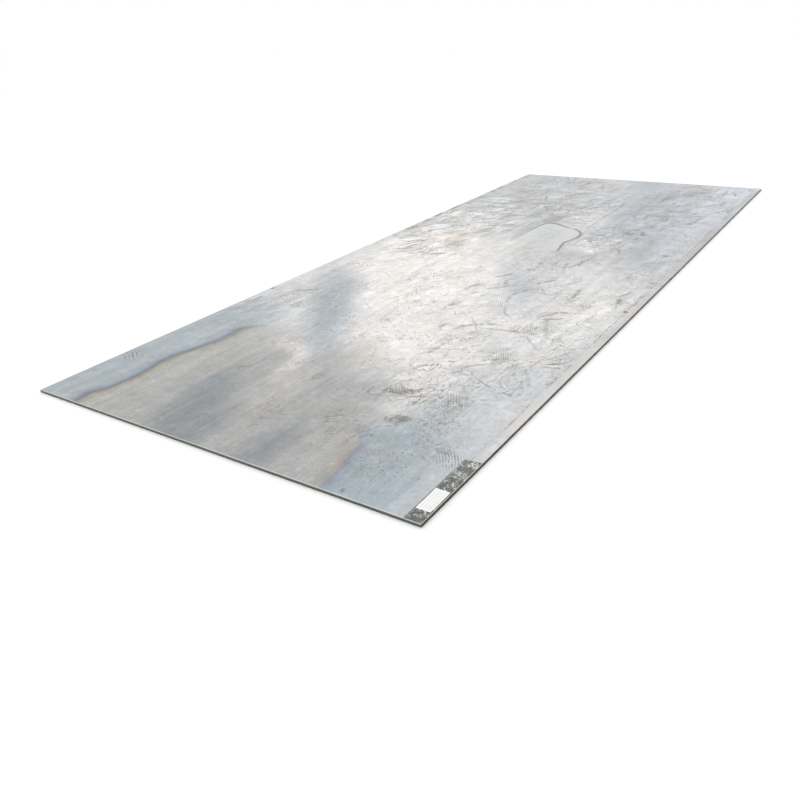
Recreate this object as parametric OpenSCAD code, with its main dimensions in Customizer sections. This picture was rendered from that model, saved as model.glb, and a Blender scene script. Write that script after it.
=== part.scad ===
// Hot-rolled steel plate, one piece of stock cut to length from coil and lying flat.
// The two long sides keep the rounded edge that rolling leaves. The two ends are sheared:
// the blade rolls one arris over, burnishes a smooth upright band, and the rest tears and leans back.
// A strip of clear film with a blank paper label is stuck on the top face at one corner.
//
// Frame: +X along the rolling direction, +Y across it, +Z up, origin at the middle of the bottom face.
// The leading end, with the label, is at -X. All sizes are in millimetres.

/* [Plate] */
// Length along the rolling direction, end to end
plate_length = 3048; // [1000:1:6000]
// Width across the rolling direction, side to side
plate_width = 1219; // [600:1:2000]
// Thickness between the two rolled faces
plate_thickness = 8; // [6:0.5:16]

/* [Mill edges] */
// How far a long side swells out at mid thickness
edge_swell = 0.7; // [0.3:0.1:1.2]
// Radius that blends each rolled face into a long side
edge_arris_radius = 1.6; // [0.8:0.1:2.4]

/* [Sheared ends] */
// Radius of the arris that the entering blade rolled over
rollover_radius = 1.2; // [0.6:0.1:2]
// Height of the smooth upright band that the blade burnished
burnish_height = 2.4; // [1:0.1:3.4]
// How far the torn rest of the cut leans back from that band
fracture_lean = 0.7; // [0.2:0.1:1.2]

/* [Label] */
// Length of the label along the plate
label_length = 76; // [40:1:120]
// Width of the label across the plate
label_width = 34; // [20:1:60]
// Thickness of the label's paper
label_thickness = 0.2; // [0.1:0.05:0.4]
// Radius of the label's die-cut corners
label_corner_radius = 1.5; // [0.5:0.1:4]

/* [Film strip] */
// Thickness of the film
film_thickness = 0.2; // [0.1:0.05:0.4]
// Film that shows along each long edge of the label
film_border = 2.5; // [1:0.1:8]
// Film that shows between the leading end and the label
film_lead = 38; // [10:1:80]
// Film that shows past the label, measured on the side nearer the plate's middle
film_tail = 121; // [40:1:200]
// Extra length of the film on its outer side, from a slanting cut
film_cut_slant = 5; // [0:0.5:12]
// Pitch of the teeth that the cutter left across the film
film_tooth_pitch = 3; // [2:0.5:6]
// Depth of those teeth
film_tooth_depth = 1.2; // [0.5:0.1:2]
// Bare steel left between the film and the rounded arrises
film_inset = 0.6; // [0.2:0.1:3]

/* [Hidden] */
$fn = 96;

// Mill edge: one shallow barrel arc over the whole thickness, with a small arc tangent inside it at each arris
half_thickness = plate_thickness / 2;
barrel_radius = (pow(half_thickness, 2) + pow(edge_swell, 2)) / (2 * edge_swell);
barrel_centre = plate_width / 2 - barrel_radius;
arris_rise = half_thickness - edge_arris_radius;
arris_reach = sqrt(pow(barrel_radius - edge_arris_radius, 2) - pow(arris_rise, 2));
flat_half_width = barrel_centre + arris_reach;
tangent_rise = arris_rise * barrel_radius / (barrel_radius - edge_arris_radius);

// Sheared end: where the burnished band gives way to the torn part
fracture_top = plate_thickness - rollover_radius - burnish_height;

// The strip lies on the flat of the top face, just inside the arrises of the corner at -X and -Y
film_width = label_width + 2 * film_border;
film_length = film_lead + label_length + film_tail;
film_start = -plate_length / 2 + rollover_radius + film_inset;
film_outer = -flat_half_width + film_inset;
film_teeth = round(film_width / film_tooth_pitch);
label_start = film_start + film_lead;
label_outer = film_outer + film_border;

// Half of the cross-section on the +Y side, drawn with Y across and Z up
module mill_edge_half() {
    square([flat_half_width, plate_thickness]);
    for (rise = [-arris_rise, arris_rise])
        translate([flat_half_width, half_thickness + rise])
            circle(r = edge_arris_radius);
    intersection() {
        translate([barrel_centre, half_thickness])
            circle(r = barrel_radius);
        translate([flat_half_width, half_thickness - tangent_rise])
            square([plate_width, 2 * tangent_rise]);
    }
}

module cross_section() {
    mill_edge_half();
    mirror([1, 0])
        mill_edge_half();
}

// Half of the lengthwise section at the leading end, drawn with X along and Z up
module sheared_half() {
    lead = -plate_length / 2;
    polygon([
        [0, 0],
        [0, plate_thickness],
        [lead + rollover_radius, plate_thickness],
        [lead + rollover_radius, plate_thickness - rollover_radius],
        [lead, plate_thickness - rollover_radius],
        [lead, fracture_top],
        [lead + fracture_lean, 0]
    ]);
    translate([lead + rollover_radius, plate_thickness - rollover_radius])
        circle(r = rollover_radius);
}

// The trailing end is the leading end turned over: the blade met it from the other face
module lengthwise_section() {
    sheared_half();
    translate([0, plate_thickness])
        rotate(180)
            sheared_half();
}

module plate() {
    color([0.66, 0.68, 0.70])
        intersection() {
            translate([-plate_length, 0, 0])
                rotate([90, 0, 90])
                    linear_extrude(height = 2 * plate_length)
                        cross_section();
            translate([0, plate_width, 0])
                rotate([90, 0, 0])
                    linear_extrude(height = 2 * plate_width)
                        lengthwise_section();
        }
}

// Film as it lies, with a toothed far end that slants from the inner side to the outer side
module film_strip() {
    inner_y = film_outer + film_width;
    far_x = film_start + film_length;
    cut = [for (i = [0 : 2 * film_teeth])
        let (across = i / (2 * film_teeth))
            [far_x + film_cut_slant * across - film_tooth_depth * (i % 2), inner_y - film_width * across]];
    color([0.42, 0.43, 0.43, 0.8])
        translate([0, 0, plate_thickness])
            linear_extrude(height = film_thickness)
                polygon(concat([[film_start, film_outer], [film_start, inner_y]], cut));
}

// Die-cut label: two crossing rectangles and a disc in each corner
module label_outline() {
    far = [label_length - label_corner_radius, label_width - label_corner_radius];
    translate([label_corner_radius, 0])
        square([label_length - 2 * label_corner_radius, label_width]);
    translate([0, label_corner_radius])
        square([label_length, label_width - 2 * label_corner_radius]);
    for (x = [label_corner_radius, far[0]], y = [label_corner_radius, far[1]])
        translate([x, y])
            circle(r = label_corner_radius);
}

module label() {
    color([0.93, 0.93, 0.91])
        translate([label_start, label_outer, plate_thickness + film_thickness])
            linear_extrude(height = label_thickness)
                label_outline();
}

plate();
film_strip();
label();
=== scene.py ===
"""Dresses a hot-rolled steel plate.

It has scaled faces, rolled sides, sheared ends, a strip of film at one corner and a blank label.
"""

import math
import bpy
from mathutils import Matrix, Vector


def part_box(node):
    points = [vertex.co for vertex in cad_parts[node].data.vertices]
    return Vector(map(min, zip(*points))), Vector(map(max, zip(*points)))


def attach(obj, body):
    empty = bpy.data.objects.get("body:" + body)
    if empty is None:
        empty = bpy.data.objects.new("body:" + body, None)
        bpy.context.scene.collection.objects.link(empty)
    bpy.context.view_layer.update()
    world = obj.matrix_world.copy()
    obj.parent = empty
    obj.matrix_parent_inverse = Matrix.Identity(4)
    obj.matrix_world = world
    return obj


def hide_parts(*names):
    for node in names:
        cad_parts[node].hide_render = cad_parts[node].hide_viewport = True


bl_info = {
    "name": "Hot-Rolled Plate Dresser",
    "version": (1, 0, 0),
    "blender": (4, 5, 0),
    "location": "View3D > Sidebar > Plate",
    "description": "Builds the looks of a hot-rolled steel plate around its solid model",
    "category": "Object",
}

from collections import namedtuple

import bpy
import numpy as np
from bpy.props import FloatProperty, FloatVectorProperty, IntProperty, PointerProperty
from mathutils import Matrix, Vector

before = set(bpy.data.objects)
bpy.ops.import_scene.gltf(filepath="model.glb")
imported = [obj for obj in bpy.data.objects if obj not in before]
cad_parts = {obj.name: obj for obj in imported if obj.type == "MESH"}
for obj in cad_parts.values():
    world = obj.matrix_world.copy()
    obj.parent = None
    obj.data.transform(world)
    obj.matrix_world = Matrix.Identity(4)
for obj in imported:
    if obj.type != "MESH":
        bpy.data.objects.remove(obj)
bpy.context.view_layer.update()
PLATE_LOW, PLATE_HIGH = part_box("plate")
FILM_LOW, FILM_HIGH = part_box("film_strip")
LABEL_LOW, LABEL_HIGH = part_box("label")
PLATE_SIZE = PLATE_HIGH - PLATE_LOW
FILM_SIZE = FILM_HIGH - FILM_LOW
LABEL_SIZE = LABEL_HIGH - LABEL_LOW

# Places on the top face are in metres: along from the leading end, across from the left side.
# Turns are in degrees, from along towards across. Covers, amounts and fades run from 0 to 1.
Patch = namedtuple("Patch", "along across reach_along reach_across turn colour cover fade", defaults=[0.90])
Blot = namedtuple("Blot", "along across reach_along reach_across amount turn", defaults=[0])
Print = namedtuple("Print", "along across half_length half_width turn pitch amount")
Line = namedtuple("Line", "half_width amount points")

# Layers of fields, in which neighbouring prints and neighbouring scuffs are kept apart
PRINT_LAYERS = 2
SCUFF_LAYERS = 5

# How far the floor lies below the plate, so that the two don't share a plane
FLOOR_GAP = 0.0002


def colour_prop(name, description, default):
    """A colour that a user may change, in linear light."""
    return FloatVectorProperty(
        name=name, description=description, default=default, subtype="COLOR", size=3, min=0.0, max=1.0
    )


def length_prop(name, description, default):
    """A size in metres that a user may change."""
    return FloatProperty(name=name, description=description, default=default, unit="LENGTH", precision=5)


def count_prop(name, description, default, least):
    """A whole number that a user may change."""
    return IntProperty(name=name, description=description, default=default, min=least)


def place_prop(name, description, default):
    """A place in metres that a user may change."""
    return FloatVectorProperty(name=name, description=description, default=default, subtype="TRANSLATION")


def angle_prop(name, description, degrees):
    """An angle that a user may change."""
    return FloatProperty(name=name, description=description, default=math.radians(degrees), subtype="ANGLE")


class PlateFinish(bpy.types.PropertyGroup):
    """Sizes and colours of the plate itself."""

    grid_pitch: length_prop("Grid pitch", "Mean spacing of the top grid, which holds the stains", 0.0072)
    rollover_radius: length_prop("Rollover radius", "Radius of the arris that the shear rolled over", 0.0012)
    burnish_height: length_prop("Burnish height", "Height of the smooth band on a sheared end", 0.0024)
    fracture_lean: length_prop("Fracture lean", "How far the torn part of a sheared end leans back", 0.0007)
    edge_swell: length_prop("Edge swell", "How far a rolled side swells out at mid thickness", 0.0007)
    arris_radius: length_prop("Arris radius", "Radius between a rolled face and a rolled side", 0.0016)
    edge_wander: length_prop("Edge wander", "How far the edges wander inwards", 0.0004)
    scale: colour_prop("Mill scale", "Plain grey of the rolled scale", (0.57, 0.58, 0.59))
    # Partly pale scale and partly painted sheen in the middle of the plate
    bright: colour_prop("Bright scale", "Thin pale scale in the middle of the plate", (0.88, 0.856, 0.824))
    # A painted highlight with a rose cast
    rose_highlight: colour_prop("Blush scale", "Pale scale with a rose cast", (0.86, 0.82, 0.79))
    dull: colour_prop("Dull scale", "Thick dull scale at the leading end", (0.40, 0.40, 0.39))
    core: colour_prop("Core scale", "Darkest blue-grey scale", (0.25, 0.268, 0.285))
    blue: colour_prop("Blue scale", "Blue-grey temper film", (0.39, 0.437, 0.468))
    slate: colour_prop("Slate scale", "Darker blue temper film beside the film strip", (0.335, 0.390, 0.428))
    pale_blue: colour_prop("Pale blue scale", "Light blue temper film", (0.485, 0.508, 0.55))
    ice: colour_prop("Ice scale", "Palest blue temper film", (0.64, 0.67, 0.735))
    straw: colour_prop("Straw scale", "Yellow-grey temper film", (0.45, 0.45, 0.42))
    rose: colour_prop("Rose scale", "Rose-grey temper film", (0.56, 0.53, 0.50))
    amber: colour_prop("Amber scale", "Tan patch of dried water", (0.69, 0.635, 0.58))
    violet: colour_prop("Violet scale", "Violet-grey temper fringe", (0.38, 0.385, 0.415))
    puddle: colour_prop("Puddle", "Pale inside of the dried puddle", (0.69, 0.695, 0.70))
    smear: colour_prop("Smear", "Grey-brown smear of yard dirt", (0.46, 0.458, 0.435))
    grime: colour_prop("Grime", "Grey-brown clouds of dried dirt", (0.30, 0.29, 0.27))
    dirt: colour_prop("Dirt", "Dark yard dirt in prints and scuffs", (0.17, 0.165, 0.155))
    rust: colour_prop("Rust", "Rust along the edges", (0.20, 0.105, 0.05))
    # Painted highlight on the arrises and on one side of dirt lines and scratches
    painted_highlight: colour_prop("Worn arris", "Bright steel on the rubbed arrises", (0.80, 0.80, 0.79))
    band_near: colour_prop("Near band", "Rubbed band beside the right side, leading half", (0.66, 0.64, 0.61))
    band_far: colour_prop("Far band", "Rubbed band beside the right side, trailing half", (0.42, 0.41, 0.39))
    band_line: colour_prop("Band line", "Dirt line on the band's inner border", (0.16, 0.12, 0.085))
    under_rust: colour_prop("Bottom rust", "Clouds of rust on the bottom face", (0.36, 0.31, 0.26))
    # The long sides' near-black is dark scale with painted shade
    side: colour_prop("Rolled side", "Dark scale on the long sides", (0.030, 0.026, 0.022))
    side_streak: colour_prop("Side streaks", "Lighter streaks along the long sides", (0.075, 0.058, 0.042))
    side_rust: colour_prop("Side rust", "Rust on the long sides", (0.15, 0.075, 0.032))
    side_dust: colour_prop("Side dust", "Grey dust on the long sides", (0.20, 0.195, 0.18))
    sheared: colour_prop("Sheared end", "Grey-olive steel of the sheared ends", (0.115, 0.128, 0.105))
    end_rust: colour_prop("End rust", "Rust stains on the sheared ends", (0.10, 0.062, 0.036))


class FilmFinish(bpy.types.PropertyGroup):
    """Sizes and colours of the film strip."""

    rows: count_prop("Rows", "Grid rows along the strip", 220, 20)
    columns: count_prop("Columns", "Grid columns across the strip", 52, 10)
    wrinkle: length_prop("Wrinkle height", "Height of the tallest wrinkles", 0.0009)
    teeth: count_prop("Teeth", "Teeth that the cutter left across the far end", 13, 1)
    tooth_depth: length_prop("Tooth depth", "Depth of those teeth", 0.0012)
    slant: length_prop("Slant", "Extra length on the outer side of the far cut", 0.005)
    film: colour_prop("Film", "Dark grey of the film over the steel", (0.050, 0.055, 0.049))
    haze: colour_prop("Haze", "Lighter grey of the scuffed film", (0.17, 0.18, 0.16))
    # The white is partly creased film and partly painted glints on the wrinkles
    crease: colour_prop("Crease", "White of the creased film", (0.80, 0.80, 0.78))
    rim: colour_prop("Rim", "Dark line along the strip's inner rim", (0.02, 0.021, 0.02))


class LabelFinish(bpy.types.PropertyGroup):
    """Sizes and colours of the label."""

    rows: count_prop("Rows", "Grid rows along the label", 64, 10)
    columns: count_prop("Columns", "Grid columns across the label", 32, 8)
    corner_radius: length_prop("Corner radius", "Radius of the die-cut corners", 0.0015)
    lift: length_prop("Lift", "How far the loosest corner has lifted", 0.0010)
    paper: colour_prop("Paper", "White of the paper", (0.88, 0.88, 0.87))
    rule: colour_prop("Rule", "Pale grey of the ruled lines", (0.55, 0.56, 0.57))
    smudge: colour_prop("Smudge", "Grey of the faint smudges", (0.55, 0.54, 0.52))


class StageSetup(bpy.types.PropertyGroup):
    """Floor, light and camera."""

    floor_size: length_prop("Floor size", "Side of the square floor", 120.0)
    floor: colour_prop("Floor", "White floor", (1.0, 1.0, 1.0))
    card_power: FloatProperty(
        name="Card power", description="Power of the soft card", default=30.0, unit="POWER"
    )
    card_size: length_prop("Card size", "Side of the soft card", 6.0)
    card_place: place_prop("Card place", "Middle of the soft card", (1.5, 2.0, 5.0))
    eye: place_prop("Eye", "Place of the camera", (-2.459, -1.247, 0.852))
    yaw: angle_prop("Yaw", "Turn of the view from +X to +Y", 35.54)
    pitch: angle_prop("Pitch", "Dip of the view below level", 27.2)
    roll: angle_prop("Roll", "Lean of the camera to its left", -3.69)
    sensor: FloatProperty(name="Sensor", description="Width of the sensor, in millimetres", default=36.0)
    lens: FloatProperty(name="Lens", description="Focal length, in millimetres", default=33.75)


# Soft noise and curves for the stain fields


def value_noise(seed, x, y, pitch):
    """Smooth noise from 0 to 1: random heights on a lattice of that pitch, blended between."""
    rng = np.random.default_rng(seed)
    u, v = (x - x.min()) / pitch, (y - y.min()) / pitch
    heights = rng.random((int(u.max()) + 3, int(v.max()) + 3))
    i, j = np.floor(u).astype(int), np.floor(v).astype(int)
    s, t = u - i, v - j
    s, t = s * s * (3 - 2 * s), t * t * (3 - 2 * t)
    low = heights[i, j] * (1 - s) + heights[i + 1, j] * s
    high = heights[i, j + 1] * (1 - s) + heights[i + 1, j + 1] * s
    return low * (1 - t) + high * t


def layered_noise(seed, x, y, pitch, layers):
    """Layers of value_noise from -1 to 1, each with half the pitch and half the height of the last."""
    total, weight = 0.0, 0.0
    for layer in range(layers):
        share = 0.5**layer
        total = total + share * (2 * value_noise(seed + layer, x, y, pitch * share) - 1)
        weight += share
    return total / weight


def soft_step(value, low, high):
    """0 at low, 1 at high, with an eased rise between. low may be above high."""
    t = np.clip((value - low) / (high - low), 0, 1)
    return t * t * (3 - 2 * t)


def end_fade(run, length, low, high):
    """1 along a line, eased from 0 at low to 1 at high from either of its ends."""
    return soft_step(run, low, high) * soft_step(length - run, low, high)


def smooth_line(points, steps=8):
    """More points along a smooth curve through the given ones."""
    points = np.array(points)
    ends = np.vstack([2 * points[0] - points[1], points, 2 * points[-1] - points[-2]])
    curve = []
    for a, b, c, d in zip(ends[:-3], ends[1:-2], ends[2:-1], ends[3:]):
        for t in np.arange(steps) / steps:
            bend = 2 * b + (c - a) * t + (2 * a - 5 * b + 4 * c - d) * t**2 + (3 * b - a - 3 * c + d) * t**3
            curve.append(bend / 2)
    curve.append(points[-1])
    return np.array(curve)


def line_distance(points, along, across):
    """Distance from each place to a line, positive on its right as it is drawn, how far along it that is,
    and the line's whole length."""
    nearest = np.full(along.size, 99.0)
    signed, run = nearest.copy(), np.zeros(along.size)
    lengths = np.hypot(*np.diff(points, axis=0).T)
    before = 0.0
    for start, end, length in zip(points[:-1], points[1:], lengths):
        step = (end - start) / length
        x, y = along - start[0], across - start[1]
        t = np.clip(x * step[0] + y * step[1], 0, length)
        distance = np.hypot(x - t * step[0], y - t * step[1])
        side = np.where(y * step[0] - x * step[1] < 0, -1.0, 1.0)
        closer = distance < nearest
        nearest = np.where(closer, distance, nearest)
        signed = np.where(closer, side * distance, signed)
        run = np.where(closer, before + t, run)
        before += length
    return signed, run, before


def turned_place(x, y, turn):
    """Places along and across a direction that is turned by some degrees."""
    turn = math.radians(turn)
    return x * math.cos(turn) + y * math.sin(turn), y * math.cos(turn) - x * math.sin(turn)


def local_place(mark, along, across):
    """Place of each point along and across a turned mark, in metres from the mark's middle."""
    return turned_place(along - mark.along, across - mark.across, mark.turn)


def patch_cover(patch, fade, along, across):
    """Cover of an elliptic patch: 1 inside, falling to 0 at its reach over the last share that fade gives."""
    u, v = local_place(patch, along, across)
    radius = np.hypot(u / patch.reach_along, v / patch.reach_across)
    return soft_step(radius, 1.0, 1.0 - fade)


# Node materials


class Finish:
    """Builds one node material, a node at a time."""

    def __init__(self, name):
        self.material = bpy.data.materials.new(name)
        self.material.use_nodes = True
        self.tree = self.material.node_tree
        self.shader = self.tree.nodes["Principled BSDF"]
        self.place = self.add("ShaderNodeTexCoord").outputs["Object"]

    def add(self, kind, inputs=None, **settings):
        """Adds a node. inputs maps socket names or numbers to values or to other nodes' outputs."""
        node = self.tree.nodes.new(kind)
        for key, value in settings.items():
            setattr(node, key, value)
        for key, value in (inputs or {}).items():
            self.feed(node.inputs[key], value)
        return node

    def feed(self, socket, value):
        """Links an output to the socket, or sets the socket to a plain value."""
        if isinstance(value, bpy.types.NodeSocket):
            self.tree.links.new(value, socket)
        elif socket.type == "RGBA":
            socket.default_value = (*value[:3], 1.0)
        else:
            socket.default_value = value

    def set(self, **sockets):
        """Sets or links the shader's own sockets, named with underscores for spaces."""
        for key, value in sockets.items():
            self.feed(self.shader.inputs[key.replace("_", " ")], value)

    def math(self, operation, *values):
        """One sum or comparison of numbers."""
        return self.add("ShaderNodeMath", dict(enumerate(values)), operation=operation).outputs[0]

    def plus(self, first, second):
        """The sum of two numbers."""
        return self.math("ADD", first, second)

    def minus(self, first, second):
        """The first number less the second."""
        return self.math("SUBTRACT", first, second)

    def times(self, *values):
        """The product of several numbers."""
        product = values[0]
        for value in values[1:]:
            product = self.math("MULTIPLY", product, value)
        return product

    def scaled(self, value, gain, start):
        """gain times value, plus start."""
        return self.math("MULTIPLY_ADD", value, gain, start)

    def about(self, value, centre, gain):
        """centre plus gain times what value differs from a half."""
        return self.scaled(value, gain, centre - 0.5 * gain)

    def between(self, weight, first, second):
        """A number that goes from first to second with the weight."""
        return self.plus(self.times(first, self.minus(1.0, weight)), self.times(second, weight))

    def rise(self, value, low, high):
        """0 below low, 1 above high, eased between. low may be above high."""
        settings = {"Value": value, "From Min": low, "From Max": high}
        if low > high:
            settings.update({"From Min": high, "From Max": low, "To Min": 1.0, "To Max": 0.0})
        return self.add("ShaderNodeMapRange", settings, interpolation_type="SMOOTHSTEP").outputs[0]

    def hump(self, value, centre, half_width):
        """1 at centre, falling to 0 at half_width on either side."""
        return self.rise(self.math("ABSOLUTE", self.minus(value, centre)), half_width, 0.0)

    def mix(self, weight, first, second, blend="MIX"):
        """Mixes two colours."""
        settings = {0: weight, 6: first, 7: second}
        node = self.add("ShaderNodeMix", settings, data_type="RGBA", blend_type=blend)
        return node.outputs[2]

    def over(self, colour, tint, *weights):
        """The colour with a tint laid over it, as strong as the product of the weights."""
        return self.mix(self.times(*weights), colour, tint)

    def shade(self, colour, level):
        """The colour multiplied by a level."""
        grey = self.add("ShaderNodeCombineColor", {0: level, 1: level, 2: level}).outputs[0]
        return self.mix(1.0, colour, grey, "MULTIPLY")

    def split(self, vector):
        """The three numbers of a vector."""
        return self.add("ShaderNodeSeparateXYZ", {0: vector}).outputs

    def turned(self, vector, angle):
        """A vector turned about the upright."""
        settings = {"Vector": vector, "Angle": angle}
        return self.add("ShaderNodeVectorRotate", settings, rotation_type="Z_AXIS").outputs[0]

    def noise(self, scale, detail=3.0, rough=0.5, bend=0.0, turn=0):
        """Cloudy noise, about 0 to 1. Three scales, one for each axis, draw it out, after the place on the
        piece is turned by some degrees."""
        place = self.place
        if isinstance(scale, tuple):
            if turn:
                place = self.turned(place, math.radians(turn))
            place = self.add("ShaderNodeVectorMath", {0: place, 1: scale}, operation="MULTIPLY").outputs[0]
            scale = 1.0
        settings = {"Vector": place, "Scale": scale, "Detail": detail, "Roughness": rough, "Distortion": bend}
        return self.add("ShaderNodeTexNoise", settings).outputs[0]

    def patches(self, low, high, *noise, **more):
        """Noise cut into patches: 0 where it is below low, 1 where it is above high."""
        return self.rise(self.noise(*noise, **more), low, high)

    def shaken(self, value, swing, *noise):
        """A number that noise moves up and down."""
        return self.plus(value, self.about(self.noise(*noise), 0.0, swing))

    def cells(self, scale):
        """Distance to the nearest scattered point, and that cell's random number from 0 to 1."""
        node = self.add("ShaderNodeTexVoronoi", {"Vector": self.place, "Scale": scale})
        return node.outputs["Distance"], self.split(node.outputs["Color"])[0]

    def strokes(self, scale, half_length, direction, wobble):
        """Short bent strokes scattered one to a cell, each within 40 degrees of the direction: how far off
        the stroke each place is, how much of it shows there, and the cell's random number."""
        settings = {"Vector": self.place, "Scale": scale}
        node = self.add("ShaderNodeTexVoronoi", settings, voronoi_dimensions="2D")
        turn, bend, pick = self.split(node.outputs["Color"])
        settings = {0: self.place, 1: node.outputs["Position"]}
        local = self.add("ShaderNodeVectorMath", settings, operation="SUBTRACT").outputs[0]
        angle = self.about(turn, math.radians(direction), math.radians(80))
        u, v, _ = self.split(self.turned(local, angle))
        off = self.times(self.about(bend, 0.0, 1.2 / half_length), u, u)
        off = self.plus(self.plus(off, v), wobble)
        return off, self.rise(self.math("ABSOLUTE", u), half_length, 0.5 * half_length), pick

    def field(self, name):
        """The three numbers of a field stored on the mesh."""
        return self.split(self.add("ShaderNodeAttribute", attribute_name=name).outputs["Vector"])

    def bump(self, height, distance, strength):
        """A normal bent by a height."""
        settings = {"Height": height, "Distance": distance, "Strength": strength}
        return self.add("ShaderNodeBump", settings).outputs[0]

    def ramp(self, value, stops):
        """A colour that follows value through the stops, each a place from 0 to 1 and a colour."""
        node = self.add("ShaderNodeValToRGB", {0: value})
        elements = node.color_ramp.elements
        elements[0].position = stops[0][0]
        elements[1].position = stops[-1][0]
        for place, _ in stops[1:-1]:
            elements.new(place)
        for element, (_, colour) in zip(elements, stops):
            element.color = (*colour, 1.0)
        return node.outputs[0]


# Stain fields of the top face, painted sheen and shade among them


def heat_rims():
    """Rims of the heat-tinted scale, each drawn with its inside on the right and run past the plate's end."""
    left = [(-0.20, 0.150), (0.00, 0.150), (0.05, 0.143), (0.09, 0.160), (0.155, 0.170), (0.235, 0.164)]
    left += [(0.32, 0.157), (0.39, 0.176), (0.44, 0.188), (0.51, 0.192), (0.565, 0.192), (0.60, 0.215)]
    left += [(0.625, 0.250), (0.64, 0.30)]
    right = [(0.26, 0.850), (0.245, 0.875), (0.23, 0.900), (0.205, 0.925), (0.176, 0.942), (0.10, 0.959)]
    right += [(0.00, 0.973), (-0.20, 0.990)]
    return [smooth_line(left), smooth_line(right)]


def puddle_rim():
    """Rim of a dried puddle, drawn with its inside on the right."""
    points = [(1.75, 0.510), (1.93, 0.520), (2.03, 0.525), (2.082, 0.537), (2.098, 0.562), (2.085, 0.600)]
    points += [(2.058, 0.645), (2.040, 0.690), (2.00, 0.727), (1.95, 0.743), (1.90, 0.740), (1.84, 0.724)]
    points += [(1.79, 0.732), (1.70, 0.752)]
    return smooth_line(points)


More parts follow.
